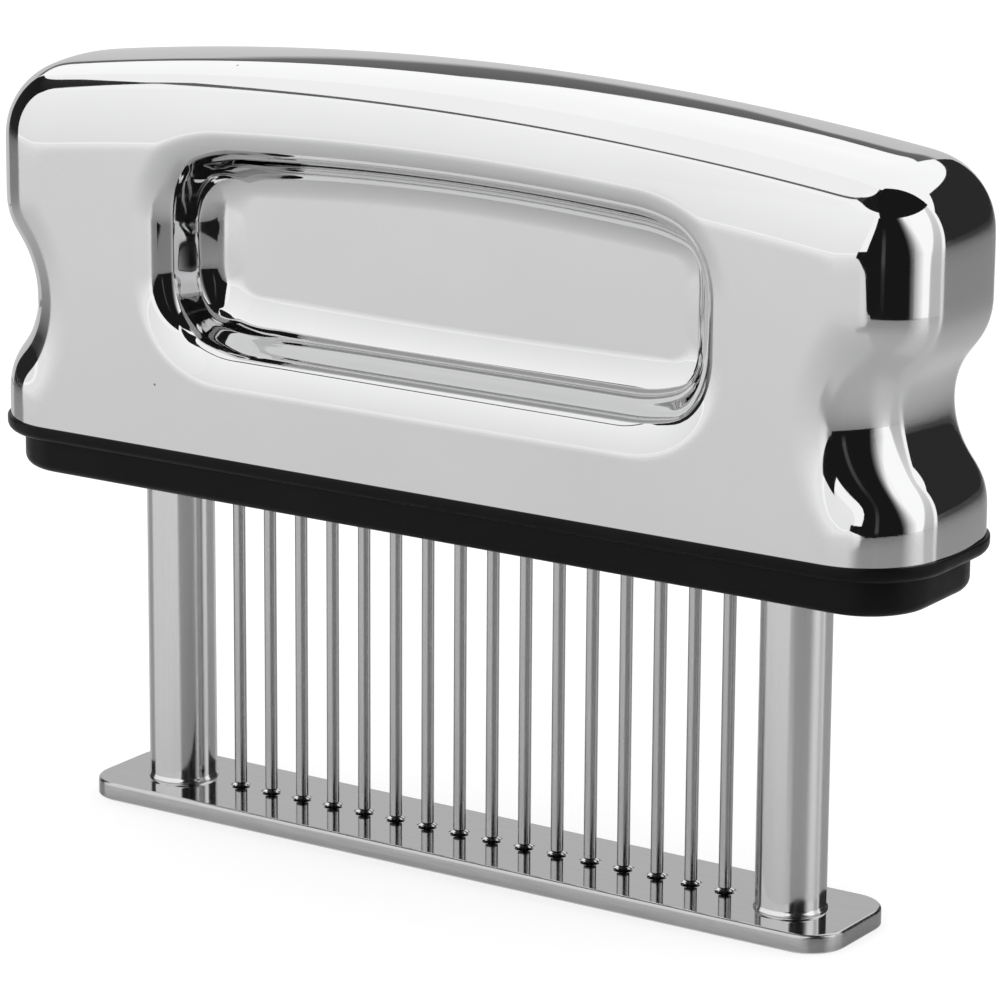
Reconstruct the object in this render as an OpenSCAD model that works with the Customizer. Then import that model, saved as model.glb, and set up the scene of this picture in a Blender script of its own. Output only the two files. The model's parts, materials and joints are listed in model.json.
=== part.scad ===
// Needle meat tenderiser: a sprung handle that pushes a row of needles through a foot plate.
// X runs along the needle row, Y from front to back, Z up. The foot plate stands on Z = 0.

/* [Needles] */
// Number of needles in the row
needle_count = 16; // [8:1:24]
// Distance between neighbouring needles
needle_pitch = 5; // [4:0.1:7]
// Diameter of a needle's shank
needle_d = 1.65; // [1.2:0.05:2]
// Diameter of a needle's head
needle_head_d = 3; // [2.4:0.1:3.6]
// Height of a needle's head
needle_head_h = 1.2; // [0.8:0.1:2]
// Diameter of the reduced point below the shank
needle_neck_d = 1; // [0.7:0.05:1.1]
// Height of the shoulder above the foot plate when the handle is up
needle_shoulder = 1.1; // [0.5:0.1:3]
// How far the point reaches into its hole when the handle is up
needle_reach = 1.6; // [0.8:0.1:2]

/* [Foot plate] */
// Length of plate beyond each guide post's axis
plate_end = 10; // [8:0.5:20]
// Width of the foot plate
plate_w = 18; // [15:0.5:30]
// Thickness of the foot plate
plate_t = 2.4; // [2.2:0.1:4]
// Radius of the foot plate's corners
plate_corner_r = 5; // [2:0.5:7]
// Rounding of the foot plate's upper edge
plate_edge_r = 0.4; // [0.2:0.1:0.8]
// Rounding of the foot plate's lower edge
plate_lower_r = 0.2; // [0.1:0.05:0.5]
// Gap between a needle's shank and its hole
needle_hole_gap = 0.18; // [0.15:0.01:0.3]
// Width of the countersink round each needle hole
needle_hole_sink = 0.25; // [0.1:0.05:0.5]

/* [Guide posts] */
// Outer diameter of a guide post
post_d = 9; // [8.5:0.1:12]
// Bore of a guide post, which holds the spring
post_bore_d = 6.4; // [5.8:0.1:6.6]
// Thickness of the solid foot below the bore
post_foot_h = 6.6; // [5:0.2:12]
// Height of a post above the ledge that stops its ring
post_rise = 2.2; // [2:0.1:4]
// Width of the bead where a post meets the plate
post_bead = 0.4; // [0.2:0.1:0.8]
// Running clearance between a post and its guide, on the radius
guide_clearance = 0.05; // [0.03:0.01:0.1]
// How far a stop ring stands out from its post
ring_proud = 0.5; // [0.4:0.05:0.8]
// Thickness of a stop ring
ring_t = 1; // [0.6:0.1:1.2]
// Depth of the stop ring's groove in the post
ring_groove = 0.4; // [0.2:0.05:0.6]
// Opening of a stop ring, in degrees
ring_gap_angle = 50; // [20:5:90]

/* [Springs] */
// Outer diameter of a spring
spring_d = 5.6; // [4.6:0.1:5.7]
// Diameter of the spring wire
spring_wire = 0.6; // [0.5:0.1:1]
// Number of coils in a spring
spring_coils = 17; // [10:1:20]

/* [Base] */
// Height of the free needles, from plate to base
needle_free = 42.5; // [30:0.5:60]
// Height of the base's lower tier
base_h = 4.8; // [4:0.1:8]
// How far the lower tier stands in from the flange
base_step = 2.3; // [1.5:0.1:3]
// Rounding of the lower tier's bottom edge
base_edge_r = 1.4; // [0.5:0.1:2.5]
// Height of the flange under the shell
flange_h = 2; // [1.5:0.1:4]
// How far the flange stands out from the shell
flange_proud = 0.25; // [0:0.05:0.5]
// Rounding of the flange's lower edge
flange_edge_r = 1.1; // [0.3:0.1:1.3]
// Height of the spigot that locates the shell
spigot_h = 2.4; // [2:0.1:4]
// Gap between the spigot and the shell
spigot_clearance = 0.3; // [0.25:0.05:0.5]
// Wall of the guide towers
tower_wall = 1.2; // [1:0.1:2]
// Free space between the last needle's head and a guide tower
post_margin = 1.5; // [1:0.1:4]

/* [Clamp and fasteners] */
// Thickness of the needle clamp
clamp_t = 2; // [1.5:0.1:3]
// Width of the needle clamp
clamp_w = 16; // [14:0.5:20]
// Diameter of the clamp screws
clamp_screw_d = 3; // [2.5:0.1:3.5]
// Length of the clamp screws under the head
clamp_screw_l = 7.5; // [6:0.5:8]
// Diameter of the shell screws and foot screws
screw_d = 4; // [3:0.1:4.4]
// Length of the shell screws under the head
shell_screw_l = 16; // [12:0.5:20]
// Length of a foot screw
foot_screw_l = 7; // [5:0.5:7.5]
// Gap between a screw and its hole, on the radius
screw_clearance = 0.05; // [0.02:0.01:0.1]
// Diameter of the shell's screw bosses
boss_d = 8.4; // [7.5:0.1:9]
// How far the bosses bite into the waist of the shell
boss_bite = 1.6; // [1:0.1:2]
// Free space between a guide tower and a boss
boss_gap = 2; // [1:0.1:5]

/* [Handle shell] */
// Width of the shell from front to back
handle_w = 29.5; // [28:0.1:34]
// Height of the shell at the middle
handle_h = 51.45; // [46:0.05:62]
// Wall thickness of the shell
wall = 2.2; // [1.8:0.1:2.6]
// Radius that rolls round the front and back edges
edge_r = 10.7; // [9:0.1:12]
// Radius of the arched top
arch_r = 450; // [250:5:900]
// Radius of the two top corners, seen from the front
corner_r = 10; // [6:0.1:14]
// Depth of the waist in each end
waist_depth = 4.95; // [3:0.05:6]
// Radius of the hollow of the waist
waist_r = 9.6; // [7:0.1:12]
// Radius of the bulges above and below the waist
bulge_r = 8.7; // [6:0.1:10]
// Height of the waist above the bottom of the shell
waist_z = 16.5; // [15:0.1:20]

/* [Grip pocket] */
// Depth of the grip pocket
pocket_depth = 9.5; // [7:0.1:10.5]
// Radius of the pocket's lip
pocket_lip_r = 4.75; // [3:0.05:5.5]
// Length of the pocket's lip beyond the inner side of each guide tower
pocket_overrun = 3.25; // [0:0.05:3.5]
// Height of the pocket's lower lip above the bottom of the shell
pocket_z = 9.8; // [8:0.1:14]
// Depth of the pocket's upper lip below the top of the shell
pocket_drop = 8; // [7.6:0.1:14]
// Radius of the pocket's corners at the lip
pocket_corner_r = 12.5; // [11.5:0.1:14]

/* [Hidden] */
$fn = 64;

// Levels
plate_top = plate_t;
base_bottom = plate_top + needle_free;
flange_bottom = base_bottom + base_h;
shell_bottom = flange_bottom + flange_h;
ledge_z = shell_bottom + spigot_h;
shell_top = shell_bottom + handle_h;

// Guide posts and towers
stop_gap = 0.15;
ring_d = post_d + 2 * ring_proud;
ring_clearance = 0.3;
tower_bore_d = ring_d + 2 * ring_clearance;
tower_d = tower_bore_d + 2 * tower_wall;
row_half = needle_pitch * (needle_count - 1) / 2;
post_x = row_half + needle_head_d / 2 + post_margin + tower_d / 2;
post_top = ledge_z + post_rise;
ring_z = ledge_z + stop_gap;
ring_side_gap = 0.05;

// Handle shell in front view
waist_inner_x = post_x + tower_d / 2 + boss_gap + boss_d - boss_bite;
half_l = waist_inner_x + wall + waist_depth;
half_w = handle_w / 2;
waist = [half_l - waist_depth + waist_r, shell_bottom + waist_z];
arch_centre = [0, shell_top - arch_r];
least_r = 0.5;
boss_x = waist_inner_x + boss_bite - boss_d / 2;
boss_top = waist[1];

// Grip pocket
pocket_half_l = post_x - tower_d / 2 + pocket_overrun;
pocket_floor_r = pocket_depth - pocket_lip_r;
pocket_bottom = shell_bottom + pocket_z;
pocket_arch_r = arch_r - pocket_drop;
// Most inset of the edge rounding over the pocket, where the lip takes over
lip_land = 0.4;
top_inset = min(edge_r, pocket_drop - lip_land);

// Points on each stretch of the shell's outline, from the bottom middle to the top middle
bottom_n = 3;
bulge_n = 4;
waist_n = 5;
corner_n = 6;
arch_n = 6;
// Steps round the rolled edge and down the pocket's wall, outside and inside the shell
outer_edge_n = 6;
outer_wall_n = 4;
inner_edge_n = 4;
inner_wall_n = 3;

// Spring caps
cap_flange_h = 1.5;
cap_spigot_h = 3;
cap_clearance = 0.15;
roof_gap = 0.5;
tower_far_x = post_x + tower_d / 2;
roof_r = edge_r - wall;
roof_drop = roof_r - sqrt(pow(roof_r, 2) - pow(max(0, tower_d / 2 - half_w + edge_r), 2));
roof_z = arch_centre[1] + sqrt(pow(arch_r - wall, 2) - pow(tower_far_x, 2)) - roof_drop;
cap_top = roof_z - roof_gap;
tower_top = cap_top - cap_flange_h;
spring_top = tower_top - cap_spigot_h;
spring_bottom = plate_top + post_foot_h;

// Screws: sizes of a head and its cross recess as shares of the screw's diameter
head_ratio = 1.8;
head_h_ratio = 0.6;
slot_ratio = 0.22;
recess_ratio = 0.9;
recess_depth_share = 0.5;
// How far a countersunk head lies below its face, its straight rim, and the room round a pan head
sink_gap = 0.15;
head_rim = 0.2;
head_space = 0.3;

// Needle clamp
clamp_gap = 0.6;
clamp_half_l = post_x - tower_d / 2 - clamp_gap;
clamp_screw_share = 0.8;
clamp_screw_x = row_half * clamp_screw_share;
clamp_screw_shift = 0.4;
clamp_screw_y = (clamp_w / 2 + needle_head_d / 2) / 2 + clamp_screw_shift;

// How far fused solids reach into each other, and how far a cut runs past a face
overlap = 0.01;
cut = 1;

SIDES = ["left", "right"];

function needle_name(i) = str("needle_", i < 10 ? "0" : "", i);
function needle_x(i) = (i - 1) * needle_pitch - row_half;
function side_x(side) = side == "left" ? -post_x : post_x;

// Geometry helpers

function on_circle(centre, r, angle) = centre + r * [cos(angle), sin(angle)];
function arc(centre, r, from, to, n) =
    [for (i = [0 : n - 1]) on_circle(centre, r, from + (to - from) * i / (n - 1))];
function line(from, to, n) = [for (i = [0 : n - 1]) from + (to - from) * i / (n - 1)];
function tail(list) = [for (i = [1 : len(list) - 1]) list[i]];
function inner(list) = [for (i = [1 : len(list) - 2]) list[i]];
function reversed(list) = [for (i = [len(list) - 1 : -1 : 0]) list[i]];

// Edge profile of a slab as [inset, height] points, from its bottom to its top
function edge_profile(h, bottom_r, top_r, n = 5) = concat(
    bottom_r > 0 ? arc([bottom_r, bottom_r], bottom_r, 270, 180, n) : [[0, 0]],
    top_r > 0 ? arc([top_r, h - top_r], top_r, 180, 90, n) : [[0, h]]
);

// A rounded rectangle swept by an edge profile
module slab(l, w, corner, profile) {
    h = profile[len(profile) - 1][1];
    module section(half) polygon(concat(
        [for (p = profile) [half - p[0], p[1]]],
        [for (p = reversed(profile)) [p[0] - half, p[1]]]
    ));
    rotate([90, 0, 90])
        translate([0, 0, corner - l / 2])
            linear_extrude(l - 2 * corner) section(w / 2);
    rotate([90, 0, 0])
        translate([0, 0, corner - w / 2])
            linear_extrude(w - 2 * corner) section(l / 2);
    for (sx = [-1, 1], sy = [-1, 1])
        translate([sx * (l / 2 - corner), sy * (w / 2 - corner), 0])
            rotate_extrude()
                polygon(concat([[0, 0]], [for (p = profile) [corner - p[0], p[1]]], [[0, h]]));
}

// A closed skin through equal loops of points, with flat ends
module skin(loops) {
    n = len(loops[0]);
    last = (len(loops) - 1) * n;
    walls = [for (k = [0 : len(loops) - 2], i = [0 : n - 1])
        let (a = k * n + i, b = k * n + (i + 1) % n, c = a + n, d = b + n) each [[a, b, d], [a, d, c]]];
    // Each end starts from a point that is on no straight side
    start = floor(n / 2);
    first_end = [[for (i = [0 : n - 1]) (n + start - i) % n]];
    last_end = [[for (i = [0 : n - 1]) last + (start + i) % n]];
    polyhedron(points = [for (l = loops, p = l) p], faces = concat(first_end, walls, last_end));
}

// Shell outline

// A half outline from the bottom middle to the top middle, completed by its mirror image
function closed(half) = concat(half, [for (p = reversed(inner(half))) [-p[0], p[1]]]);

// The outline drawn in by side_e at the ends and by top_e at the top
function shell_loop(side_e, top_e, bottom) =
    let (
        x = half_l - side_e,
        r = max(bulge_r - side_e, least_r),
        reach = waist[0] - x + r,
        rise = sqrt(pow(waist_r + side_e + r, 2) - pow(reach, 2)),
        turn = atan2(rise, reach),
        cr = max(corner_r - max(side_e, top_e), least_r),
        corner_z = arch_centre[1] + sqrt(pow(arch_r - top_e - cr, 2) - pow(x - cr, 2)),
        corner_turn = atan2(corner_z - arch_centre[1], x - cr)
    )
    closed(concat(
        line([0, bottom], [x, bottom], bottom_n + 1),
        arc([x - r, waist[1] - rise], r, 0, turn, bulge_n),
        inner(arc(waist, waist_r + side_e, 180 + turn, 180 - turn, waist_n + 2)),
        arc([x - r, waist[1] + rise], r, -turn, 0, bulge_n),
        arc([x - cr, corner_z], cr, 0, corner_turn, corner_n),
        tail(arc(arch_centre, arch_r - top_e, corner_turn, 90, arch_n + 1))
    ));

// The pocket's lip drawn in by s
function pocket_loop(s) =
    let (
        r = pocket_corner_r - s,
        x = pocket_half_l - pocket_corner_r,
        low_z = pocket_bottom + pocket_corner_r,
        high_z = arch_centre[1] + sqrt(pow(pocket_arch_r - pocket_corner_r, 2) - pow(x, 2)),
        turn = atan2(high_z - arch_centre[1], x)
    )
    closed(concat(
        line([0, pocket_bottom + s], [x, pocket_bottom + s], bottom_n + 1),
        tail(arc([x, low_z], r, -90, 0, bulge_n + 1)),
        inner(line([x + r, low_z], [x + r, high_z], waist_n + 2)),
        arc([x, high_z], r, 0, turn, bulge_n + corner_n),
        tail(arc(arch_centre, pocket_arch_r - s, turn, 90, arch_n + 1))
    ));

// Half width of the skin at depth t under the surface, at distance d below the arched top
function face_y(d, t) = half_w - edge_r + sqrt(pow(edge_r - t, 2) - pow(max(0, edge_r - d), 2));

// The S-curve of the pocket's wall, as [inset, depth] points at depth t under the surface
function pocket_wall(t, n) = concat(
    arc([0, pocket_lip_r - t], pocket_lip_r - t, -90, 0, n + 1),
    tail(arc([pocket_depth, pocket_lip_r - t], pocket_floor_r + t, 180, 90, n + 1))
);

// Front half of the loops, from the pocket's floor out to the middle of the sides
function front_loops(t, bottom, edge_n, wall_n) = concat(
    [for (p = reversed(pocket_wall(t, wall_n)))
        [for (q = pocket_loop(p[0])) [q[0], p[1] - face_y(arch_r - norm(q - arch_centre), t), q[1]]]],
    [for (k = [edge_n : -1 : 0])
        let (
            side_e = edge_r - (edge_r - t) * cos(90 * k / edge_n),
            top_turn = acos((edge_r - top_inset) / (edge_r - t)),
            top_e = edge_r - (edge_r - t) * cos(top_turn * k / edge_n)
        )
        [for (q = shell_loop(side_e, top_e, bottom))
            let (
                d = arch_r - norm(q - arch_centre),
                up = q[1] > waist[1] && d < edge_r,
                share = up ? min(1, max(0, (half_l - abs(q[0])) / edge_r)) : 0,
                side_y = half_w - edge_r + (edge_r - t) * sin(90 * k / edge_n),
                top_y = half_w - edge_r + (edge_r - t) * sin(top_turn * k / edge_n)
            )
            [q[0], -(side_y + (top_y - side_y) * share), q[1]]]]
);

module shell_body(t, bottom, edge_n, wall_n) {
    front = front_loops(t, bottom, edge_n, wall_n);
    back = [for (l = reversed(front)) [for (p = l) [p[0], -p[1], p[2]]]];
    skin(concat(front, back));
}

// Handle and what is in it

module handle_shell() {
    color("gainsboro")
    difference() {
        union() {
            difference() {
                shell_body(0, shell_bottom, outer_edge_n, outer_wall_n);
                shell_body(wall, shell_bottom - cut, inner_edge_n, inner_wall_n);
            }
            for (side = [-1, 1])
                translate([side * boss_x, 0, ledge_z])
                    cylinder(d = boss_d, h = boss_top - ledge_z);
        }
        for (side = [-1, 1])
            translate([side * boss_x, 0, ledge_z - cut])
                cylinder(d = screw_d + 2 * screw_clearance, h = shell_screw_l);
    }
}

module base_body() {
    lower_l = 2 * (half_l + flange_proud - base_step);
    lower_w = 2 * (half_w + flange_proud - base_step);
    spigot_in = wall + spigot_clearance;
    head_d = screw_d * head_ratio + 2 * head_space;
    clamp_hole_z = ledge_z + clamp_t - clamp_screw_l - head_space;
    channel_w = needle_head_d + 2 * head_space;
    channel_l = 2 * row_half + channel_w;
    color([0.12, 0.12, 0.13])
    difference() {
        union() {
            translate([0, 0, base_bottom])
                slab(lower_l, lower_w, edge_r + flange_proud - base_step,
                    edge_profile(base_h + overlap, base_edge_r, 0));
            translate([0, 0, flange_bottom])
                slab(2 * (half_l + flange_proud), 2 * (half_w + flange_proud), edge_r + flange_proud,
                    edge_profile(flange_h, flange_edge_r, flange_proud));
            translate([0, 0, shell_bottom - overlap])
                slab(2 * (half_l - spigot_in), 2 * (half_w - spigot_in), edge_r - spigot_in,
                    edge_profile(spigot_h + overlap, 0, 0));
            for (side = [-1, 1])
                translate([side * post_x, 0, ledge_z - overlap])
                    cylinder(d = tower_d, h = tower_top - ledge_z + overlap);
        }
        for (side = [-1, 1]) {
            translate([side * post_x, 0, base_bottom - cut])
                cylinder(d = post_d + 2 * guide_clearance, h = tower_top);
            translate([side * post_x, 0, ledge_z])
                cylinder(d = tower_bore_d, h = tower_top);
            translate([side * boss_x, 0, base_bottom - cut])
                cylinder(d = screw_d + 2 * screw_clearance, h = tower_top);
            translate([side * boss_x, 0, base_bottom - cut])
                cylinder(d = head_d, h = cut + screw_d * head_h_ratio + head_space);
        }
        for (sx = [-1, 1], sy = [-1, 1])
            translate([sx * clamp_screw_x, sy * clamp_screw_y, clamp_hole_z])
                cylinder(d = clamp_screw_d + 2 * screw_clearance, h = tower_top);
        for (i = [1 : needle_count])
            translate([needle_x(i), 0, base_bottom - cut])
                cylinder(d = needle_d + 2 * screw_clearance, h = tower_top);
        translate([-channel_l / 2, -channel_w / 2, ledge_z - needle_head_h])
            cube([channel_l, channel_w, needle_head_h + cut]);
    }
}

// A round needle: head, shank, shoulder and a reduced point
module needle(i) {
    tip_z = plate_top - needle_reach;
    neck_r = needle_neck_d / 2;
    shank_r = needle_d / 2;
    shoulder_z = plate_top + needle_shoulder;
    head_z = ledge_z - needle_head_h;
    color("silver")
    translate([needle_x(i), 0, 0])
        rotate_extrude()
            polygon([
                [0, tip_z],
                [neck_r, tip_z + needle_neck_d],
                [neck_r, shoulder_z - (shank_r - neck_r)],
                [shank_r, shoulder_z],
                [shank_r, head_z],
                [needle_head_d / 2, head_z],
                [needle_head_d / 2, ledge_z],
                [0, ledge_z]
            ]);
}

module needle_clamp() {
    color("lightsteelblue")
    difference() {
        translate([-clamp_half_l, -clamp_w / 2, ledge_z])
            cube([2 * clamp_half_l, clamp_w, clamp_t]);
        for (sx = [-1, 1], sy = [-1, 1])
            translate([sx * clamp_screw_x, sy * clamp_screw_y, ledge_z - cut])
                cylinder(d = clamp_screw_d + 2 * screw_clearance, h = clamp_t + 2 * cut);
    }
}

// A pan-head screw with its head's seat at z = 0 and its shank downwards
module pan_screw(d, l) {
    head_h = d * head_h_ratio;
    difference() {
        union() {
            cylinder(d = d * head_ratio, h = head_h);
            translate([0, 0, -l]) cylinder(d = d, h = l + overlap);
        }
        translate([0, 0, head_h]) cross_recess(d, head_h * recess_depth_share);
    }
}

// The cross recess of a screw's head, cut downwards from z = 0
module cross_recess(d, depth) {
    slot = d * slot_ratio;
    reach = d * recess_ratio;
    for (size = [[reach, slot], [slot, reach]])
        translate([-size[0] / 2, -size[1] / 2, -depth]) cube([size[0], size[1], depth + cut]);
}

module clamp_screws() {
    color("silver")
    for (sx = [-1, 1], sy = [-1, 1])
        translate([sx * clamp_screw_x, sy * clamp_screw_y, ledge_z + clamp_t])
            pan_screw(clamp_screw_d, clamp_screw_l);
}

module shell_screws() {
    color("silver")
    for (side = [-1, 1])
        translate([side * boss_x, 0, base_bottom + screw_d * head_h_ratio + head_space])
            rotate([180, 0, 0])
                pan_screw(screw_d, shell_screw_l);
}

module spring_cap(side) {
    color([0.15, 0.15, 0.16])
    translate([side_x(side), 0, spring_top])
        union() {
            cylinder(d = tower_bore_d - 2 * cap_clearance, h = cap_spigot_h + overlap);
            translate([0, 0, cap_spigot_h]) cylinder(d = tower_d, h = cap_flange_h);
        }
}

// Foot and what stands on it

module foot_plate() {
    hole_d = needle_d + 2 * needle_hole_gap;
    sink = needle_hole_sink;
    color("lightgray")
    difference() {
        slab(2 * (post_x + plate_end), plate_w, plate_corner_r,
            edge_profile(plate_t, plate_lower_r, plate_edge_r));
        for (i = [1 : needle_count])
            translate([needle_x(i), 0, 0]) {
                translate([0, 0, -cut]) cylinder(d = hole_d, h = plate_t + 2 * cut);
                translate([0, 0, plate_t - sink]) cylinder(d1 = hole_d, d2 = hole_d + 4 * sink, h = 2 * sink);
                translate([0, 0, -sink]) cylinder(d1 = hole_d + 4 * sink, d2 = hole_d, h = 2 * sink);
            }
        for (side = [-1, 1])
            translate([side * post_x, 0, -cut]) {
                cylinder(d = screw_d + 2 * screw_clearance, h = plate_t + 2 * cut);
                sunk_head(screw_clearance, cut + sink_gap + head_rim);
            }
    }
}

// A countersunk head that starts at z = 0 with a straight rim and is widened by grow
module sunk_head(grow, rim) {
    head_r = screw_d * head_ratio / 2;
    cone_h = head_r - screw_d / 2;
    rotate_extrude()
        polygon([
            [0, 0],
            [head_r + grow, 0],
            [head_r + grow, rim],
            [screw_d / 2 + grow, rim + cone_h],
            [0, rim + cone_h]
        ]);
}

module foot_screws() {
    recess = (head_ratio - 1) * screw_d / 2 * recess_depth_share;
    color("silver")
    for (side = [-1, 1])
        translate([side * post_x, 0, sink_gap])
            difference() {
                union() {
                    sunk_head(0, head_rim);
                    cylinder(d = screw_d, h = foot_screw_l);
                }
                rotate([180, 0, 0]) cross_recess(screw_d, recess);
            }
}

// A hollow post with a solid foot, a bead on the plate and a groove for its stop ring
module guide_post(side) {
    r = post_d / 2;
    groove_low = ring_z - ring_side_gap;
    groove_high = ring_z + ring_t + ring_side_gap;
    color("gainsboro")
    translate([side_x(side), 0, 0])
        difference() {
            rotate_extrude()
                polygon(concat(
                    [[0, plate_top], [r, plate_top]],
                    arc([r, plate_top + post_bead], post_bead, -60, 90, 6),
                    [
                        [r, groove_low],
                        [r - ring_groove, groove_low],
                        [r - ring_groove, groove_high],
                        [r, groove_high],
                        [r, post_top],
                        [0, post_top]
                    ]
                ));
            translate([0, 0, spring_bottom]) cylinder(d = post_bore_d, h = post_top);
            translate([0, 0, plate_top - cut])
                cylinder(d = screw_d + 2 * screw_clearance, h = cut + foot_screw_l + 2 * sink_gap - plate_t);
        }
}

// A snap ring in the groove of a post
module stop_ring(side) {
    inner_d = post_d - 2 * ring_groove + 2 * ring_side_gap;
    color("dimgray")
    translate([side_x(side), 0, ring_z])
        rotate([0, 0, ring_gap_angle / 2])
            rotate_extrude(angle = 360 - ring_gap_angle)
                translate([inner_d / 2, 0]) square([(ring_d - inner_d) / 2, ring_t]);
}

// A coil spring between the foot of the post's bore and its cap
module spring(side) {
    seat_gap = 0.05;
    steps_per_coil = 8;
    wire_sides = 6;
    coil_r = (spring_d - spring_wire) / 2;
    low = spring_bottom + spring_wire / 2 + seat_gap;
    high = spring_top - spring_wire / 2 - seat_gap;
    steps = spring_coils * steps_per_coil;
    loops = [for (k = [0 : steps])
        let (turn = 360 * k / steps_per_coil, z = low + (high - low) * k / steps)
        [for (s = [0 : wire_sides - 1])
            let (a = 360 * s / wire_sides, r = coil_r + spring_wire / 2 * cos(a))
            [r * cos(turn), r * sin(turn), z + spring_wire / 2 * sin(a)]]];
    color("gray")
    translate([side_x(side), 0, 0]) skin(loops);
}

handle_shell();
base_body();
needle_clamp();
clamp_screws();
shell_screws();
for (i = [1 : needle_count])
    needle(i);
for (side = SIDES) {
    guide_post(side);
    stop_ring(side);
    spring(side);
    spring_cap(side);
}
foot_plate();
foot_screws();
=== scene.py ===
import json
import math

import bpy
import numpy as np
from mathutils import Matrix, Vector


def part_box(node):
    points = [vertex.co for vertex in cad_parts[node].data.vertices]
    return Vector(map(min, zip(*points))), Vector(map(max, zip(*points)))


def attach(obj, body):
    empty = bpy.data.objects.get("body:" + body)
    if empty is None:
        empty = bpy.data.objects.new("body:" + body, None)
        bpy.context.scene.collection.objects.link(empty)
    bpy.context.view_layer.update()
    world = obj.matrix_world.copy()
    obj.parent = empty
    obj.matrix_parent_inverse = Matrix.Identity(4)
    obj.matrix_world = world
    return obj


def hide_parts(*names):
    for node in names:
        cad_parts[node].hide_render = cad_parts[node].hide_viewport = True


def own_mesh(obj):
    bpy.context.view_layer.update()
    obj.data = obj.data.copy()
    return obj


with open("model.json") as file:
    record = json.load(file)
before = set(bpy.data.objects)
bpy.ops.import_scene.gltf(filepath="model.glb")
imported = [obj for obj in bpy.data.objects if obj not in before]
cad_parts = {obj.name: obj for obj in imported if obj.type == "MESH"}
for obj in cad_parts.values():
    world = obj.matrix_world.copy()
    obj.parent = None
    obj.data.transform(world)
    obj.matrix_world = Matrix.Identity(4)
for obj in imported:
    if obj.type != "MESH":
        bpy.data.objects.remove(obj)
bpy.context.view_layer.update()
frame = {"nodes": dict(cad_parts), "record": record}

MM = 0.001

# Handle shell, in metres. X runs along the needle row, Y from front to back, Z up.
SHELL_LO, SHELL_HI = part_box("handle_shell")
HALF_L = SHELL_HI.x
HALF_W = SHELL_HI.y
SHELL_BOTTOM = SHELL_LO.z
SHELL_TOP = SHELL_HI.z
WALL = 2.2 * MM
EDGE_R = 10.7 * MM
# Slight crown across the top and the ends, between the rounded edges
CROWN_R = 45 * MM
EDGE_Y = HALF_W - EDGE_R
CROWN_TURN = math.asin(EDGE_Y / (CROWN_R - EDGE_R))
EDGE_D = CROWN_R - (CROWN_R - EDGE_R) * math.cos(CROWN_TURN)
ARCH_R = 450 * MM
CORNER_R = 10 * MM
WAIST_DEPTH = 4.95 * MM
WAIST_R = 9.6 * MM
WAIST_Z = SHELL_BOTTOM + 16.5 * MM
BULGE_R = 8.7 * MM
# Softening of the joints between the outline's arcs
OUTLINE_BLUR = 1.0 * MM

# Grip pocket
POCKET_X = 0.7 * MM
POCKET_HALF_L = 44.2 * MM
POCKET_BOTTOM = SHELL_BOTTOM + 8.8 * MM
POCKET_DROP = 7.2 * MM
POCKET_CORNER_R = 13.2 * MM
POCKET_DEPTH = 9.5 * MM
POCKET_LIP_R = 5.2 * MM
# Radius of the pocket's foot, and slope of its flank against the face: above and below, and at its ends
POCKET_FLOOR_R = 5.1 * MM
POCKET_END_FLOOR_R = 6.2 * MM
POCKET_SLOPE = math.radians(75)
POCKET_END_SLOPE = math.radians(66)
# Inset over which the wall's way inward is taken
POCKET_SPAN = 10 * MM
# How far the rings on the pocket's floor lie from its edge, as shares of the way to its middle
FLOOR_SHARES = (0.01, 0.03, 0.08, 0.2)

# Points along half of the shell's outline
BOTTOM_N = 20
BOTTOM_CORNER_N = 22
SIDE_N = 90
TOP_N = 110
BOTTOM_ALL_N = BOTTOM_N + BOTTOM_CORNER_N
# Points along an arc before they are spread evenly
SHORT_ARC_N = 40
ARC_N = 60
LONG_ARC_N = 200
# Rows of faces on the outer and inner skin: face, lip and foot of the pocket, its flank, and the crown
RIM_N = 60
WALL_N = 18
INNER_RIM_N = 10
INNER_WALL_N = 6
FLANK_N = 5
BAND_N = 8
# Samples from the outline to the lip, and steps that bring a point onto the softened outline
SPOKE_N = 401
SOLVER_STEPS = 6

# Points round turned pieces, and along rounded edges and corners
ROUND_N = 96
TOWER_N = 64
SCREW_N = 64
NEEDLE_N = 48
BORE_N = 32
FILLET_N = 8
CORNER_N = 24
BEAD_N = 14

# Black base under the shell
BASE_LO, BASE_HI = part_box("base_body")
BASE_STEP = 2.3 * MM
BASE_EDGE_R = 1.4 * MM
FLANGE_H = 2 * MM
FLANGE_EDGE_R = 1.1 * MM
FLANGE_PROUD = BASE_HI.x - HALF_L
SPIGOT_GAP = 0.3 * MM
SPIGOT_H = 2.4 * MM
LEDGE_Z = SHELL_BOTTOM + SPIGOT_H

# Guide posts
POST_LO, POST_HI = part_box("right_guide_post")
POST_X = (POST_LO.x + POST_HI.x) / 2
POST_R = 4.5 * MM
POST_BORE_R = 3.2 * MM
POST_CHAMFER = 0.05 * MM
# Bead on the plate, and its foot, start, fading and end as multiples of its size
POST_BEAD = 0.2 * MM
BEAD_FOOT = 0.8
BEAD_START = 0.4
BEAD_FADE = 3
BEAD_END = 4
GUIDE_GAP = 0.05 * MM
TOWER_R = 6.5 * MM
TOWER_BORE_R = 5.3 * MM
RING_LO, RING_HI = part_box("right_stop_ring")
RING_GROOVE = 0.4 * MM
RING_GAP = 0.05 * MM

# Springs in the posts
SPRING_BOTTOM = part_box("right_spring")[0].z
WIRE_R = 0.3 * MM
COILS = 17
COIL_STEPS = 48
WIRE_SIDES = 12
# Closed turns at each end, and the share of the rise that they take
CLOSED_TURNS = 1.2
CLOSED_RISE = 0.012

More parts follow.
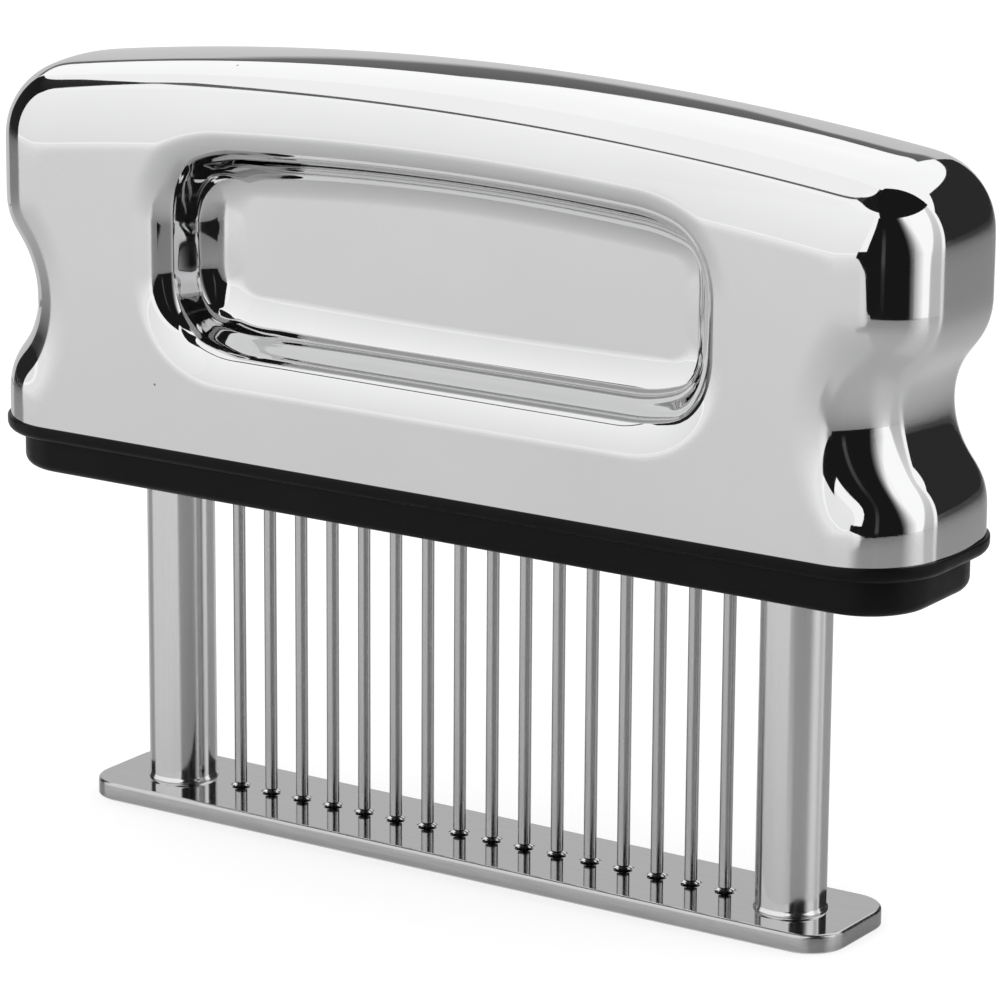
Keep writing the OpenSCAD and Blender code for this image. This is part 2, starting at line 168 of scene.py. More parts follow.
# Foot plate
PLATE_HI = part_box("foot_plate")[1]
PLATE_CORNER_R = 5 * MM
PLATE_EDGE_R = 0.45 * MM
PLATE_LOWER_R = 0.2 * MM
HOLE_R = 1.005 * MM
HOLE_LIP = 0.55 * MM
SEAT_RIM = 0.35 * MM

# Needles and screws
NEEDLES = [name for name in frame["nodes"] if name.startswith("needle_") and name != "needle_clamp"]
NEEDLE_R = 0.825 * MM
NEEDLE_NECK_R = 0.5 * MM
# Radius and height of the point, as multiples of the neck's radius
NEEDLE_TIP = ((0.05, 0), (0.9, 1.8), (1, 2.2))
NEEDLE_SHOULDER = 0.7 * MM
SHOULDER_START = 1.2
NEEDLE_HEAD_R = 1.5 * MM
NEEDLE_HEAD_H = 1.2 * MM
SCREW_R = 2 * MM
SCREW_HEAD_R = 3.6 * MM
SCREW_GAP = 0.05 * MM
HEAD_SPACE = 0.3 * MM
HEAD_H = 2.4 * MM
# Width of flat that keeps a rounded edge from shading the face beside it
SUPPORT = 0.06 * MM

# Camera, fitted to the photograph
CAMERA_YAW = math.radians(33.153)
CAMERA_PITCH = math.radians(14.946)
CAMERA_ROLL = math.radians(-0.366)
CAMERA_TARGET = Vector((3.4524, 0, 48.0251)) * MM
CAMERA_DISTANCE = 629.86 * MM
SENSOR = 36.0
FOCAL_SHARE = 4.97114

# Studio
FLOOR_R = 2.6
FLOOR_N = 96
FLOOR_DARK = (0.462, 0.462, 0.462)
FLOOR_LIGHT = (0.477, 0.477, 0.477)
FLOOR_ROUGH = 0.6
WORLD_LIGHT = 1.04
# Brightness of the background, and what the floor adds to its own light, as camera and metal see them
WORLD_GLOW = 1.3
FLOOR_GLOW = 0.58
# Sheet just above the floor, which only metal sees
TABLE_LIFT = 0.2 * MM
TABLE_TONE = 0.5
TABLE_ROUGH = 0.24
TABLE_SHINE = 1.7
TABLE_IOR = 1.5

# Cards: distances and centres. The near ones stand on the floor at the elevation NEAR_FOOT.
CARD_LIGHT = 1.04
CARD_N = 12
CARD_R = 2.0
CARD_CENTRE = Vector((0, 0, 75)) * MM
FAR_FLAG_R = 1.9
ROOM_FLAG_R = 1.95
NEAR_CENTRE = Vector((60, 0, 80)) * MM
NEAR_R = 0.34
NEAR_FLAG_R = 0.33
STAND_R = 0.32
NEAR_FOOT = -14.05
BACK_CENTRE = Vector((0, 0, 95)) * MM
BACK_R = 0.38
BACK_DARK_R = 0.37
BLACK = (0.012, 0.012)


# Outline of the shell and its distance field

ARCH_Z = SHELL_TOP - ARCH_R
WAIST_X = HALF_L - WAIST_DEPTH + WAIST_R
BULGE_X = HALF_L - BULGE_R
WAIST_REACH = WAIST_X - BULGE_X
WAIST_RISE = math.sqrt((WAIST_R + BULGE_R) ** 2 - WAIST_REACH ** 2)
WAIST_TURN = math.atan2(WAIST_RISE, WAIST_REACH)
CORNER_X = HALF_L - CORNER_R
CORNER_Z = ARCH_Z + math.sqrt((ARCH_R - CORNER_R) ** 2 - CORNER_X ** 2)
CORNER_TURN = math.atan2(CORNER_Z - ARCH_Z, CORNER_X)

# Centre, radius, first and last angle, and +1 for a convex or -1 for a hollow arc
OUTLINE_ARCS = (
    (BULGE_X, WAIST_Z - WAIST_RISE, BULGE_R, 0, WAIST_TURN, 1),
    (WAIST_X, WAIST_Z, WAIST_R, math.pi - WAIST_TURN, math.pi + WAIST_TURN, -1),
    (BULGE_X, WAIST_Z + WAIST_RISE, BULGE_R, -WAIST_TURN, 0, 1),
    (CORNER_X, CORNER_Z, CORNER_R, 0, CORNER_TURN, 1),
    (0, ARCH_Z, ARCH_R, CORNER_TURN, math.pi / 2, 1),
)
# Straight stretches of the ends, as lowest and highest point. The lower one runs on below the shell.
OUTLINE_LINES = (
    (SHELL_BOTTOM - 3 * EDGE_R, WAIST_Z - WAIST_RISE),
    (WAIST_Z + WAIST_RISE, CORNER_Z),
)


def sharp_distance(x, z):
    """Distance inside the outline, negative outside."""
    x = np.abs(x)
    best = np.full(x.shape, 1.0)
    signed = np.zeros(x.shape)
    for cx, cz, r, first, last, sign in OUTLINE_ARCS:
        angle = np.arctan2(z - cz, x - cx)
        if last > math.pi:
            angle = np.where(angle < 0, angle + 2 * math.pi, angle)
        angle = np.clip(angle, first, last)
        gap = np.hypot(x - cx - r * np.cos(angle), z - cz - r * np.sin(angle))
        inside = sign * (r - np.hypot(x - cx, z - cz)) >= 0
        near = gap < best
        best = np.where(near, gap, best)
        signed = np.where(near, np.where(inside, gap, -gap), signed)
    for low, high in OUTLINE_LINES:
        gap = np.hypot(x - HALF_L, z - np.clip(z, low, high))
        near = gap < best
        best = np.where(near, gap, best)
        signed = np.where(near, np.where(x <= HALF_L, gap, -gap), signed)
    return signed


def distance(x, z):
    """The distance with its creases softened, as a weighted mean over nine points."""
    step = math.sqrt(3) * OUTLINE_BLUR
    taps = ((0, 2 / 3), (step, 1 / 6), (-step, 1 / 6))
    return sum(wx * wz * sharp_distance(x + dx, z + dz) for dx, wx in taps for dz, wz in taps)


def slope(x, z):
    """Gradient of the softened distance."""
    h = 0.02 * MM
    gx = (distance(x + h, z) - distance(x - h, z)) / (2 * h)
    gz = (distance(x, z + h) - distance(x, z - h)) / (2 * h)
    return np.stack([gx, gz], 1)


def crown_edge(depth):
    """Distance inside the outline where the crown meets the rounded edge, for a skin at that depth."""
    return EDGE_D - (EDGE_R - depth) * math.cos(CROWN_TURN)


def rim_y(d, depth):
    """Half width of the skin that lies depth under the surface, at distance d inside the outline."""
    r = EDGE_R - depth
    left = EDGE_D - np.clip(d, crown_edge(depth), EDGE_D)
    return EDGE_Y + np.sqrt(r ** 2 - left ** 2)


def arc(cx, cz, r, first, last, n):
    angle = np.linspace(first, last, n)
    return np.stack([cx + r * np.cos(angle), cz + r * np.sin(angle)], 1)


def spread(points, n):
    """n + 1 points evenly along a polyline."""
    points = np.asarray(points, float)
    length = np.r_[0, np.cumsum(np.linalg.norm(np.diff(points, axis=0), axis=1))]
    at = np.linspace(0, length[-1], n + 1)
    return np.stack([np.interp(at, length, points[:, k]) for k in range(2)], 1)


def mirrored(half):
    """A half outline, from bottom middle to top middle, and its mirror image back to the start."""
    return np.concatenate([half, half[1:-1][::-1] * [-1, 1]])


def outline_loop(depth):
    """Line where the crown of the skin that lies depth under the surface meets its rounded edge."""
    turn = np.linspace(0, math.pi / 2 - CROWN_TURN, BOTTOM_CORNER_N + 1)
    straight = np.linspace(0, HALF_L - EDGE_D, BOTTOM_N, endpoint=False)
    x = np.r_[straight, HALF_L - EDGE_D + (EDGE_R - depth) * np.sin(turn)]
    bottom = np.stack([x, np.full(len(x), SHELL_BOTTOM)], 1)
    middle = CORNER_TURN / 2
    lower, waist, upper, corner, arch = OUTLINE_ARCS
    side = spread(np.concatenate([
        [[HALF_L, SHELL_BOTTOM]],
        arc(*lower[:5], ARC_N),
        arc(*waist[:3], waist[4], waist[3], ARC_N),
        arc(*upper[:5], ARC_N),
        arc(*corner[:3], 0, middle, ARC_N),
    ]), SIDE_N)
    top = spread(np.concatenate([
        arc(*corner[:3], middle, CORNER_TURN, ARC_N),
        arc(*arch[:5], LONG_ARC_N),
    ]), TOP_N)
    free = np.concatenate([side[1:], top[1:]])
    for _ in range(SOLVER_STEPS):
        grad = slope(free[:, 0], free[:, 1])
        step = distance(free[:, 0], free[:, 1]) - crown_edge(depth)
        free = free - step[:, None] * grad / np.sum(grad ** 2, axis=1)[:, None]
    free[-1, 0] = 0
    return mirrored(np.concatenate([bottom, free]))


def pocket_loop(inset):
    """The pocket's lip drawn in by inset."""
    r = POCKET_CORNER_R - inset
    x = POCKET_HALF_L - POCKET_CORNER_R
    low = POCKET_BOTTOM + POCKET_CORNER_R
    arch = ARCH_R - POCKET_DROP
    high = ARCH_Z + math.sqrt((arch - POCKET_CORNER_R) ** 2 - x ** 2)
    turn = math.atan2(high - ARCH_Z, x)
    eighth = math.pi / 4
    n = SHORT_ARC_N
    bottom = np.concatenate([[[0, low - r]], arc(x, low, r, -2 * eighth, -eighth, n)])
    side = np.concatenate([arc(x, low, r, -eighth, 0, n), arc(x, high, r, 0, turn / 2, n)])
    top = np.concatenate([
        arc(x, high, r, turn / 2, turn, n),
        arc(0, ARCH_Z, arch - inset, turn, math.pi / 2, LONG_ARC_N),
    ])
    return [POCKET_X, 0] + mirrored(np.concatenate([
        spread(bottom, BOTTOM_ALL_N),
        spread(side, SIDE_N)[1:],
        spread(top, TOP_N)[1:],
    ]))


def at_depth(loop, depth, sunk=0.0):
    """A loop of (x, z) points laid on the front of the skin, sunk by a pocket depth."""
    y = sunk - rim_y(distance(loop[..., 0], loop[..., 1]), depth)
    return np.stack([loop[..., 0], y, loop[..., 1]], -1)


def rim_loops(depth, n):
    """Loops from the outline to the pocket's lip, evenly spaced along the surface."""
    outer = outline_loop(depth)
    lip = pocket_loop(0)
    share = np.linspace(0, 1, SPOKE_N) ** 2
    spokes = outer[:, None] + (lip - outer)[:, None] * share[None, :, None]
    points = at_depth(spokes, depth)
    length = np.cumsum(np.linalg.norm(np.diff(points, axis=1), axis=2), axis=1)
    length = np.concatenate([np.zeros((len(outer), 1)), length], axis=1)
    shares = np.stack([np.interp(np.linspace(0, l[-1], n + 1), l, share) for l in length], 1)
    return at_depth(outer[None] + (lip - outer)[None] * shares[..., None], depth)


def pocket_wall(slope_at, floor_r, depth, n):
    """The pocket's wall from its lip line in, as (inset, depth) pairs: lip, flank and rounded foot."""
    lip_r = POCKET_LIP_R - depth
    foot_r = floor_r + depth
    rounds = POCKET_LIP_R + floor_r
    length = (POCKET_DEPTH - rounds * (1 - np.cos(slope_at))) / np.sin(slope_at)
    inset = rounds * np.sin(slope_at) + length * np.cos(slope_at)
    shares = np.linspace(0, 1, n + 1)
    lip = [(lip_r * np.sin(s * slope_at), lip_r * (1 - np.cos(s * slope_at))) for s in shares[1:]]
    foot = [(inset - foot_r * np.sin(s * slope_at), POCKET_DEPTH - foot_r * (1 - np.cos(s * slope_at)))
            for s in shares[::-1]]
    rows = [np.stack(row) for row in lip + foot]
    first, last = rows[n - 1], rows[n]
    flank = [first + (last - first) * k / FLANK_N for k in range(1, FLANK_N)]
    return rows[:n] + flank + rows[n:]


def front_loops(depth, rim_n, wall_n):
    """All loops of the front skin, from the outline to the pocket's floor."""
    lip = pocket_loop(0)
    inward = (pocket_loop(POCKET_SPAN) - lip) / POCKET_SPAN
    endwise = inward[:, 0] ** 2 / np.sum(inward ** 2, axis=1)
    slope_at = POCKET_SLOPE + (POCKET_END_SLOPE - POCKET_SLOPE) * endwise
    floor_r = POCKET_FLOOR_R + (POCKET_END_FLOOR_R - POCKET_FLOOR_R) * endwise
    wall = [at_depth(lip + inward * inset[:, None], depth, sunk)
            for inset, sunk in pocket_wall(slope_at, floor_r, depth, wall_n)]
    edge = wall[-1]
    middle = edge.mean(axis=0)
    floor = [edge + (middle - edge) * share for share in FLOOR_SHARES]
    return np.concatenate([rim_loops(depth, rim_n), wall, floor])


def crown_row(edge, depth, turn):
    """Row of the crown at an angle, outside the line where the crown meets the rounded edge."""
    grad = slope(edge[:, 0], edge[:, 2])
    rise = crown_edge(depth) - CROWN_R + (CROWN_R - depth) * math.cos(turn)
    out = edge[:, [0, 2]] - rise * grad / np.sum(grad ** 2, axis=1)[:, None]
    return np.stack([out[:, 0], np.full(len(out), (CROWN_R - depth) * math.sin(turn)), out[:, 1]], 1)


def skin(loops, depth):
    """Front loops, their mirror image and the crown between, as points, faces and the open bottom ring."""
    k_n, n = loops.shape[:2]
    back = loops * [1, -1, 1]
    ends = range(BOTTOM_ALL_N, n - BOTTOM_ALL_N + 1)
    turns = np.linspace(-CROWN_TURN, CROWN_TURN, BAND_N + 1)
    band = [crown_row(loops[0], depth, turn) for turn in turns[1:-1]]
    points = np.concatenate([loops.reshape(-1, 3), back.reshape(-1, 3)] + band)
    faces = []
    for k in range(k_n - 1):
        for i in range(n):
            a, b = k * n + i, k * n + (i + 1) % n
            faces.append((a, b, b + n, a + n))
            a, b = a + k_n * n, b + k_n * n
            faces.append((a, a + n, b + n, b))
    floor = [(k_n - 1) * n + i for i in range(n)]
    faces.append(tuple(floor))
    faces.append(tuple(f + k_n * n for f in reversed(floor)))
    rows = [0] + [2 * k_n * n + k * n for k in range(BAND_N - 1)] + [k_n * n]
    for low, high in zip(rows, rows[1:]):
        faces += [(low + i, high + i, high + i + 1, low + i + 1) for i in ends[:-1]]
    half = [i % n for i in range(n - BOTTOM_ALL_N, n + BOTTOM_ALL_N + 1)]
    ring = [rows[0] + i for i in half]
    ring += [row + ends[0] for row in rows[1:-1]]
    ring += [rows[-1] + i for i in reversed(half)]
    ring += [row + ends[-1] for row in reversed(rows[1:-1])]
    return points, faces, ring


def used_only(points, faces):
    """Points and faces without the points that no face uses."""
    used = sorted({i for f in faces for i in f})
    place = {old: new for new, old in enumerate(used)}
    return points[used], [tuple(place[i] for i in f) for f in faces]


def handle_mesh():
    """The hollow shell: outer skin, inner skin and the flat rim below."""
    outer, faces, outer_ring = skin(front_loops(0.0, RIM_N, WALL_N), 0.0)
    inner, inner_faces, inner_ring = skin(front_loops(WALL, INNER_RIM_N, INNER_WALL_N), WALL)
    start = len(outer)
    faces = faces + [tuple(start + i for i in reversed(f)) for f in inner_faces]
    inner_ring = [start + i for i in inner_ring]
    count = len(outer_ring)
    for i in range(count):
        j = (i + 1) % count
        faces.append((outer_ring[j], outer_ring[i], inner_ring[i], inner_ring[j]))
    return used_only(np.concatenate([outer, inner]), faces)


# Turned and flat pieces

def middle_x(cad_node):
    low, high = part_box(cad_node)
    return (low.x + high.x) / 2


NEEDLES_X = [middle_x(name) for name in NEEDLES]


def stacked(loops):
    """Faces of a closed skin through equal loops, with flat ends."""
    n = len(loops[0])
    faces = []
    for k in range(len(loops) - 1):
        for i in range(n):
            a, b = k * n + i, k * n + (i + 1) % n
            faces.append((a, b, b + n, a + n))
    last = (len(loops) - 1) * n
    faces.append(tuple(reversed(range(n))))
    faces.append(tuple(range(last, last + n)))
    return np.concatenate(loops), faces


def fillet(inset, z, r, first, last):
    """Arc of a profile about (inset, z), in degrees from the outward side up."""
    angles = np.radians(np.linspace(first, last, FILLET_N))
    return [(inset - r * math.cos(a), z + r * math.sin(a)) for a in angles]


def slab(half_l, half_w, corner, profile):
    """A rounded rectangle swept by (inset, z) pairs from its bottom to its top."""
    turn = np.linspace(0, math.pi / 2, CORNER_N + 1)
    loops = []
    for inset, z in profile:
        r = corner - inset
        ring = []
        for quarter, (sx, sy) in enumerate(((1, 1), (-1, 1), (-1, -1), (1, -1))):
            angle = turn + quarter * math.pi / 2
            x = sx * (half_l - corner) + r * np.cos(angle)
            y = sy * (half_w - corner) + r * np.sin(angle)
            ring.append(np.stack([x, y, np.full(len(turn), z)], 1))
        loops.append(np.concatenate(ring))
    return stacked(loops)


def circle(x, r, z, n):
    """n points round a vertical axis."""
    angle = np.arange(n) * 2 * math.pi / n
    return np.stack([x + r * np.cos(angle), r * np.sin(angle), np.full(n, z)], 1)


def revolve(x, profile, n=ROUND_N):
    """(radius, z) pairs from bottom to top turned about a vertical axis, with flat ends."""
    return stacked([circle(x, r, z, n) for r, z in profile])


def tube(x, outer_r, inner_r, low, high, n=TOWER_N):
    """An open tube with flat ends."""
    corners = ((outer_r, low), (outer_r, high), (inner_r, high), (inner_r, low))
    faces = []
    for k in range(len(corners)):
        for i in range(n):
            j = (i + 1) % n
            a, b = k * n, (k + 1) % len(corners) * n
            faces.append((a + i, a + j, b + j, b + i))
    return np.concatenate([circle(x, r, z, n) for r, z in corners]), faces


def joined(solids):
    """Several meshes as one."""
    points, faces, start = [], [], 0
    for some_points, some_faces in solids:
        points.append(some_points)
        faces += [tuple(start + i for i in f) for f in some_faces]
        start += len(some_points)
    return np.concatenate(points), faces


def plain_object(points, faces):
    mesh = bpy.data.meshes.new("work")
    mesh.from_pydata([tuple(p) for p in points], [], faces)
    made = bpy.data.objects.new("work", mesh)
    bpy.context.scene.collection.objects.link(made)
    return made


def cut(solid, tools):
    """A solid with the tools cut out of it."""
    body = plain_object(*solid)
    tool = plain_object(*joined(tools))
    knife = body.modifiers.new("cut", "BOOLEAN")
    knife.operation = "DIFFERENCE"
    knife.solver = "EXACT"
    knife.object = tool
    mesh = body.evaluated_get(bpy.context.evaluated_depsgraph_get()).to_mesh()
    points = np.array([tuple(v.co) for v in mesh.vertices])
    faces = [tuple(f.vertices) for f in mesh.polygons]
    for obj in (body, tool):
        data = obj.data
        bpy.data.objects.remove(obj)
        bpy.data.meshes.remove(data)
    return points, faces


def plate_mesh():
    """The foot plate with rounded edges, countersunk needle holes and seats for its screws."""
    top, low_r, r = PLATE_HI.z, PLATE_LOWER_R, PLATE_EDGE_R
    profile = [(low_r + SUPPORT, 0)] + fillet(low_r, low_r, low_r, -90, 0)
    profile += fillet(r, top - r, r, 0, 90) + [(r + SUPPORT, top)]
    past = 2 * HOLE_LIP
    turn = np.radians(np.linspace(0, 90, FILLET_N))
    lip = [(HOLE_R + HOLE_LIP * (1 - math.cos(a)), HOLE_LIP * (1 - math.sin(a))) for a in turn]
    hole = lip[::-1] + [(radius, top - z) for radius, z in lip]
    hole = [(HOLE_R + HOLE_LIP, -past)] + hole + [(HOLE_R + HOLE_LIP, top + past)]
    head_r, shank_r = SCREW_HEAD_R + SCREW_GAP, SCREW_R + SCREW_GAP
    cone = SEAT_RIM + head_r - shank_r
    seat = [(head_r, -past), (head_r, SEAT_RIM), (shank_r, cone), (shank_r, top + past)]
    tools = [revolve(x, hole, NEEDLE_N) for x in NEEDLES_X]
    tools += [revolve(x, seat, SCREW_N) for x in (-POST_X, POST_X)]
    return cut(slab(PLATE_HI.x, PLATE_HI.y, PLATE_CORNER_R, profile), tools)


def boss_x():
    """Distance of the shell screws from the middle: their group reaches one head's radius further."""
    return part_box("shell_screws")[1].x - SCREW_HEAD_R


def base_mesh():
    """The black base: two tiers, spigot and guide towers, with its bores."""
    bottom = BASE_LO.z
    under = SHELL_BOTTOM - FLANGE_H
    step, edge_r, flange_r, proud = BASE_STEP, BASE_EDGE_R, FLANGE_EDGE_R, FLANGE_PROUD
    spigot = proud + WALL + SPIGOT_GAP
    profile = [(step + edge_r + SUPPORT, bottom)]
    profile += fillet(step + edge_r, bottom + edge_r, edge_r, -90, 0)
    profile += [(step, under), (flange_r, under)]
    profile += fillet(flange_r, under + flange_r, flange_r, -90, 0)[1:]
    profile += fillet(proud, SHELL_BOTTOM - proud, proud, 0, 90)
    profile += [(spigot, SHELL_BOTTOM), (spigot, LEDGE_Z)]
    corner = EDGE_R + proud
    below, above = bottom - MM, LEDGE_Z + MM
    bore_r = NEEDLE_R + SCREW_GAP
    guide_r = POST_R + GUIDE_GAP
    head_r, hole_r = SCREW_HEAD_R + HEAD_SPACE, SCREW_R + SCREW_GAP
    recess = bottom + HEAD_H + HEAD_SPACE
    screw = [(head_r, below), (head_r, recess), (hole_r, recess), (hole_r, above)]
    tools = [revolve(x, [(bore_r, below), (bore_r, above)], BORE_N) for x in NEEDLES_X]
    towers = []
    for side in (-1, 1):
        tools.append(revolve(side * POST_X, [(guide_r, below), (guide_r, above)]))
        tools.append(revolve(side * boss_x(), screw, SCREW_N))
        towers.append(tube(side * POST_X, TOWER_R, TOWER_BORE_R, LEDGE_Z, BASE_HI.z))
    return joined([cut(slab(BASE_HI.x, BASE_HI.y, corner, profile), tools)] + towers)


def post_mesh(x):
    """A hollow guide post with a bead on the plate and a groove for its stop ring."""
    low, high, r, bead = POST_LO.z, POST_HI.z, POST_R, POST_BEAD
    profile = [(r + BEAD_FOOT * bead, low)]
    profile += [(r + bead * (0.5 + 0.5 * math.cos(a)), low + bead * (BEAD_START + BEAD_FADE * a / math.pi))
                for a in np.radians(np.linspace(0, 180, BEAD_N))]
    profile += [(r, low + BEAD_END * bead)]
    groove_r, groove_low, groove_high = r - RING_GROOVE, RING_LO.z - RING_GAP, RING_HI.z + RING_GAP
    profile += [(r, groove_low), (groove_r, groove_low), (groove_r, groove_high), (r, groove_high)]
    profile += [(r, high - POST_CHAMFER), (r - POST_CHAMFER, high)]
    profile += [(POST_BORE_R, high), (POST_BORE_R, SPRING_BOTTOM)]
    return revolve(x, profile)


def needle_mesh(cad_node):
    """A round needle: reduced point, soft shoulder, shank and head."""
    low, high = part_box(cad_node)
    neck, shank = NEEDLE_NECK_R, NEEDLE_R
    step = shank - neck
    shoulder = PLATE_HI.z + NEEDLE_SHOULDER
    head_z = high.z - NEEDLE_HEAD_H
    profile = [(wide * neck, low.z + up * neck) for wide, up in NEEDLE_TIP]
    profile += [(neck, shoulder - SHOULDER_START * step)]
    profile += [(shank - step * (1 - math.sin(a)), shoulder - step * math.cos(a))
                for a in np.radians(np.linspace(0, 90, FILLET_N))]
    profile += [(shank, shoulder + step), (shank, head_z), (NEEDLE_HEAD_R, head_z), (NEEDLE_HEAD_R, high.z)]
    return revolve(middle_x(cad_node), profile, NEEDLE_N)


def spring_mesh(cad_node):
    """A round-wire coil with closed ends in the place of the CAD spring."""
    low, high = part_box(cad_node)
    coil_r = (high.x - low.x) / 2 - WIRE_R
    cx = (high.x + low.x) / 2
    turn = np.linspace(0, 1, COILS * COIL_STEPS + 1)
    closed = CLOSED_TURNS / COILS
    rise = np.interp(turn, [0, closed, 1 - closed, 1], [0, CLOSED_RISE, 1 - CLOSED_RISE, 1])
    z = low.z + WIRE_R + (high.z - low.z - 2 * WIRE_R) * rise
    a = 2 * math.pi * COILS * turn
    sides = WIRE_SIDES
    points = []
    for s in range(sides):
        b = 2 * math.pi * s / sides
        r = coil_r + WIRE_R * math.cos(b)
        points.append(np.stack([cx + r * np.cos(a), r * np.sin(a), z + WIRE_R * math.sin(b)], 1))
    points = np.stack(points, 1).reshape(-1, 3)
    count = len(turn)
    faces = []
    for k in range(count - 1):
        for s in range(sides):
            p, q = k * sides + s, k * sides + (s + 1) % sides
            faces.append((p, p + sides, q + sides, q))
    faces.append(tuple(range(sides)))
    faces.append(tuple((count - 1) * sides + s for s in reversed(range(sides))))
    return points, faces


# Materials

CHROME_HAZY = (0.672, 0.673, 0.677)
CHROME_BRIGHT = (0.692, 0.693, 0.695)
# How much finer the chrome's polishing marks are than its haze
POLISH_FINER = 8
WAVES_PER_METRE = 70
# Pits in the casting: how many, share of their radius that is fully dark, and colour
PITS_PER_METRE = 110
PIT_CORE = 0.6
PIT_COLOUR = (0.16, 0.16, 0.165, 1)
PLASTIC_DARK = (0.003, 0.003, 0.0033)
PLASTIC_LIGHT = (0.0054, 0.0054, 0.0057)
PLASTIC_SHINE = 0.115


def material(name):
    """A new node material and its tree, with the shader."""
    made = bpy.data.materials.new(name)
    made.use_nodes = True
    tree = made.node_tree
    return made, tree, tree.nodes["Principled BSDF"]


def node(tree, kind, **values):
    made = tree.nodes.new(kind)
    for name, value in values.items():
        if name in made.inputs:
            made.inputs[name].default_value = value
        else:
            setattr(made, name, value)
    return made


def noise(tree, scale, stretch=(1, 1, 1), detail=2.0, roughness=0.5):
    """Noise in object space, in cycles per metre."""
    coord = node(tree, "ShaderNodeTexCoord")
    mapping = node(tree, "ShaderNodeMapping")
    mapping.inputs["Scale"].default_value = [scale * s for s in stretch]
    made = node(tree, "ShaderNodeTexNoise", Scale=1.0, Detail=detail, Roughness=roughness)
    tree.links.new(coord.outputs["Object"], mapping.inputs["Vector"])
    tree.links.new(mapping.outputs["Vector"], made.inputs["Vector"])
    return made.outputs["Fac"]


def ramp(tree, source, low, high, start=0.3, end=0.7):
    """source between start and end mapped to numbers between low and high."""
    made = node(tree, "ShaderNodeMapRange")
    made.inputs["From Min"].default_value = start
    made.inputs["From Max"].default_value = end
    made.inputs["To Min"].default_value = low
    made.inputs["To Max"].default_value = high
    tree.links.new(source, made.inputs["Value"])
    return made.outputs["Result"]


def colour_mix(tree, factor):
    """A mix of two colours, as its first and second socket and its result."""
    made = node(tree, "ShaderNodeMix", data_type="RGBA")
    tree.links.new(factor, made.inputs["Factor"])
    first, second = [s for s in made.inputs if s.type == "RGBA"]
    return first, second, [s for s in made.outputs if s.type == "RGBA"][0]


def blend_colour(tree, factor, first, second):
    """A colour between two fixed ones."""
    at_zero, at_one, made = colour_mix(tree, factor)
    at_zero.default_value = (*first, 1)
    at_one.default_value = (*second, 1)
    return made


def bump(tree, shader, height, depth):
    """Height from 0 to 1 as a relief of that depth in metres."""
    made = node(tree, "ShaderNodeBump", Strength=1.0, Distance=depth)
    tree.links.new(height, made.inputs["Height"])
    tree.links.new(made.outputs["Normal"], shader.inputs["Normal"])


def pitted(tree, colour, pit_r):
    """A colour with a few tiny dark pits, at most pit_r in radius."""
    coord = node(tree, "ShaderNodeTexCoord")
    cells = node(tree, "ShaderNodeTexVoronoi", Scale=PITS_PER_METRE)
    tree.links.new(coord.outputs["Object"], cells.inputs["Vector"])
    edge = pit_r * PITS_PER_METRE
    clean = ramp(tree, cells.outputs["Distance"], 0, 1, PIT_CORE * edge, edge)
    at_pit, at_rest, made = colour_mix(tree, clean)
    at_pit.default_value = PIT_COLOUR
    tree.links.new(colour, at_rest)
    return made


def chrome(name, rough, wave, grain, pit_r=0.0):
    """Polished plating with faint haze along its grain. wave is the depth of its slow unevenness."""
    made, tree, shader = material(name)
    shader.inputs["Metallic"].default_value = 1.0
    haze = ramp(tree, noise(tree, 1.0, grain, detail=4.0), 0, 1)
    plating = blend_colour(tree, haze, CHROME_HAZY, CHROME_BRIGHT)
    if pit_r > 0:
        plating = pitted(tree, plating, pit_r)
    tree.links.new(plating, shader.inputs["Base Color"])
    marks = noise(tree, 1.0, [POLISH_FINER * g for g in grain], detail=3.0)
    tree.links.new(ramp(tree, marks, *rough), shader.inputs["Roughness"])
    bump(tree, shader, noise(tree, WAVES_PER_METRE, detail=1.0), wave)
    return made


def steel(name, dark, light, rough, grain, depth):
    """Bare steel with a drawn grain. grain is the noise's stretch in cycles per metre."""
    made, tree, shader = material(name)
    shader.inputs["Metallic"].default_value = 1.0
    lines = noise(tree, 1.0, grain, detail=3.0, roughness=0.6)
    tree.links.new(blend_colour(tree, ramp(tree, lines, 0, 1), dark, light), shader.inputs["Base Color"])
    tree.links.new(ramp(tree, lines, *rough), shader.inputs["Roughness"])
    bump(tree, shader, lines, depth)
    return made


def plastic():
    """Black moulding with a cloudy tone and a fine grain."""
    made, tree, shader = material("black_moulding")
    cloud = ramp(tree, noise(tree, scale=80, detail=4.0), 0, 1)
    tree.links.new(blend_colour(tree, cloud, PLASTIC_DARK, PLASTIC_LIGHT), shader.inputs["Base Color"])
    shader.inputs["Specular IOR Level"].default_value = PLASTIC_SHINE
    tree.links.new(ramp(tree, noise(tree, scale=500, detail=3.0), 0.28, 0.4), shader.inputs["Roughness"])
    bump(tree, shader, noise(tree, scale=2500, detail=2.0), depth=0.01 * MM)
    return made


